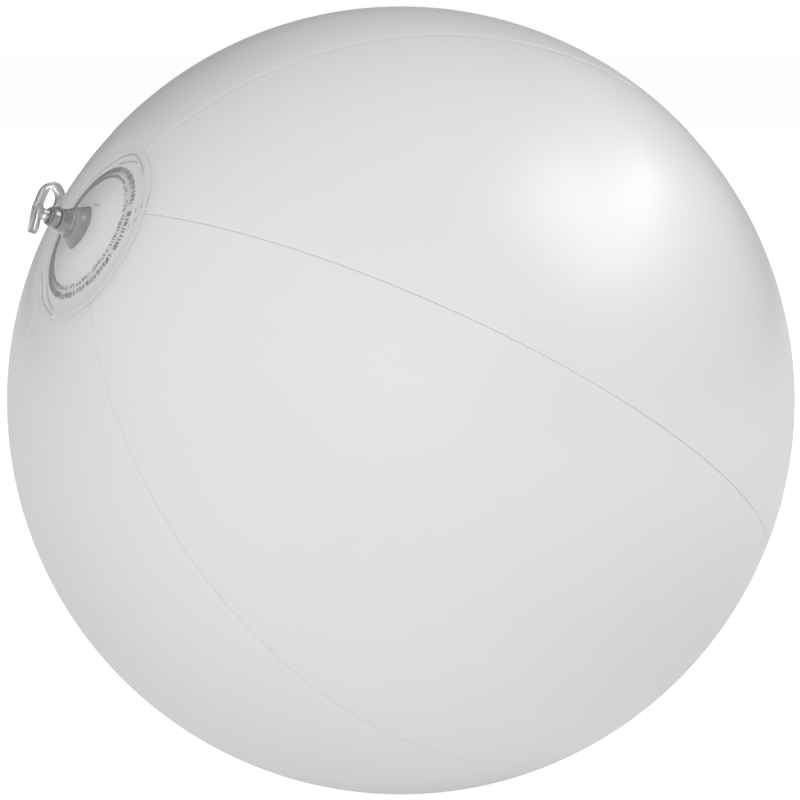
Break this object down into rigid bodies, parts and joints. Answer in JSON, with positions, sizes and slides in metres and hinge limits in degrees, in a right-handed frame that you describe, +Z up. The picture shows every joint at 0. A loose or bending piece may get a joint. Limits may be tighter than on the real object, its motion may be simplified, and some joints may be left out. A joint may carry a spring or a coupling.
{
  "type": "inflatable beach ball",
  "caption": "Inflated ball of welded milky vinyl gores with end patches and a push-in air valve closed by a strapped stopper.",
  "frame": {"origin": "on the floor straight below the ball's centre, in the middle of the flat that its weight presses into the lowest gore", "axes": "+Z is up; -Y faces the viewer; the valve points up and to the left, towards the viewer, at azimuth 206.8 degrees and 29.7 degrees above level"},
  "size_m": [0.2798, 0.279, 0.2792],
  "materials": {
    "gore_vinyl": "milky white translucent film, soft semi-gloss",
    "patch_vinyl": "milky film laid double, slightly greyer, soft semi-gloss",
    "boot_vinyl": "soft translucent grey vinyl, glossy",
    "clear_vinyl": "soft clear vinyl, glossy, seen as grey with bright glints"
  },
  "bodies": {
    "ball": {"panel_1": "gore_vinyl", "panel_2": "gore_vinyl", "panel_3": "gore_vinyl", "panel_4": "gore_vinyl", "panel_5": "gore_vinyl", "panel_6": "gore_vinyl", "valve_patch": "patch_vinyl", "base_patch": "patch_vinyl", "valve_flange": "boot_vinyl", "valve_boot": "boot_vinyl"},
    "stem": {"valve_stem": "clear_vinyl", "strap_ring": "clear_vinyl", "strap": "clear_vinyl"},
    "flap": {"check_flap": "clear_vinyl"},
    "stopper": {"stopper_plug": "clear_vinyl", "pull_tab": "clear_vinyl"}
  },
  "joints": [
    {"name": "stem_push", "type": "slide", "parent": "ball", "child": "stem", "axis": [0.8128, 0.4589, -0.3587], "range_m": [0, 0.008], "deforming": ["valve_boot"]},
    {"name": "stopper_pull", "type": "slide", "parent": "stem", "child": "stopper", "axis": [-0.8128, -0.4589, 0.3587], "range_m": [0, 0.01], "deforming": ["strap"]},
    {"name": "flap_hinge", "type": "hinge", "parent": "stem", "child": "flap", "pos_m": [-0.10615, -0.05425, 0.20505], "axis": [-0.5553, 0.7964, -0.2394], "range_deg": [0, 60], "stiffness_Nm_per_rad": 0.000005, "springref_deg": -20.05}
  ]
}
